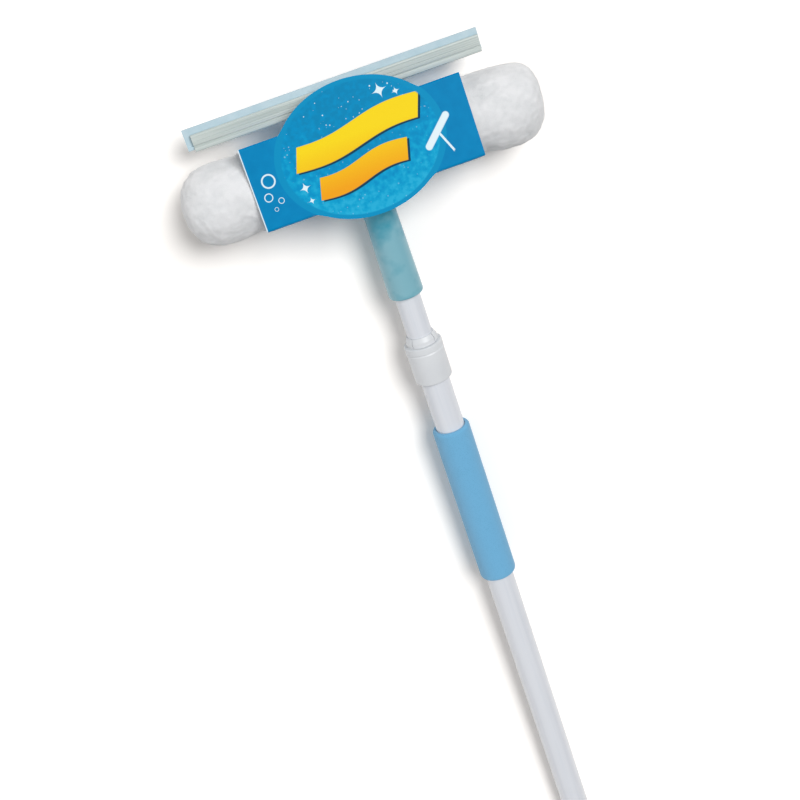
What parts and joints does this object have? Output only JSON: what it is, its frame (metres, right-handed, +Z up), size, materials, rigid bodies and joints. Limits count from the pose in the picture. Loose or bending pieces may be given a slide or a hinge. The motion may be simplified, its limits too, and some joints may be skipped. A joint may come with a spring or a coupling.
{
  "type": "telescopic window squeegee",
  "caption": "Telescopic window squeegee: a plush washing roll and a rubber blade on a sliding pole with a twist lock, a foam grip and a hanging cap.",
  "frame": {"origin": "bottom centre of the bounding box of the squeegee lying on its roll and its end cap, card up, pole pushed in", "axes": "+Y along the floor from the end cap to the blade, +Z up out of the card's side, +X along the roll, to the right of someone who looks from the end cap to the blade"},
  "size_m": [0.261, 0.7986, 0.0682],
  "materials": {
    "white_enamel": "white enamel on a thin drawn steel tube, satin gloss",
    "white_plastic": "white injection-moulded plastic, satin",
    "teal_plastic": "teal injection-moulded plastic, satin gloss",
    "grey_plastic": "grey injection-moulded plastic, matt, mostly out of sight",
    "pale_plastic": "pale grey-green extruded plastic, satin",
    "blue_rubber": "light blue soft rubber, matt",
    "blue_foam": "sky-blue soft closed-cell foam, matt",
    "white_plush": "white short-pile plush",
    "sponge": "pale yellow open-cell sponge, out of sight",
    "blue_card": null,
    "steel": "plain steel screw"
  },
  "bodies": {
    "outer_pole": {"outer_tube": "white_enamel", "foam_grip": "blue_foam", "end_cap": "white_plastic", "collar_ferrule": "white_plastic", "collet": "white_plastic"},
    "lock_collar": {"lock_collar": "white_plastic"},
    "slider": {"guide_bush": "grey_plastic"},
    "inner_pole": {"inner_tube": "white_enamel", "tube_plug": "grey_plastic", "neck_socket": "teal_plastic", "neck_screw": "steel", "t_bar": "grey_plastic", "t_bar_screw_left": "steel", "t_bar_screw_right": "steel", "t_bar_plug_left": "grey_plastic", "t_bar_plug_right": "grey_plastic", "sponge_core_left": "sponge", "sponge_core_right": "sponge", "washer_sleeve": "white_plush", "blade_bracket": "grey_plastic", "bracket_screw": "steel", "clamp_plate": "grey_plastic", "clamp_screw_left": "steel", "clamp_screw_right": "steel", "squeegee_channel": "pale_plastic", "blade_rubber": "blue_rubber", "card_band": "blue_card"}
  },
  "joints": [
    {"name": "telescope", "type": "slide", "parent": "outer_pole", "child": "slider", "axis": [0, 0.9997, 0.0255], "range_m": [0, 0.43]},
    {"name": "head_swivel", "type": "hinge", "parent": "slider", "child": "inner_pole", "pos_m": [0, -0.3576, 0.01312], "axis": [0, 0.9997, 0.0255], "range_deg": [-180, 180]},
    {"name": "lock_turn", "type": "hinge", "parent": "outer_pole", "child": "lock_collar", "pos_m": [0, 0.17663, 0.02677], "axis": [0, 0.9997, 0.0255], "range_deg": [0, 90]}
  ]
}
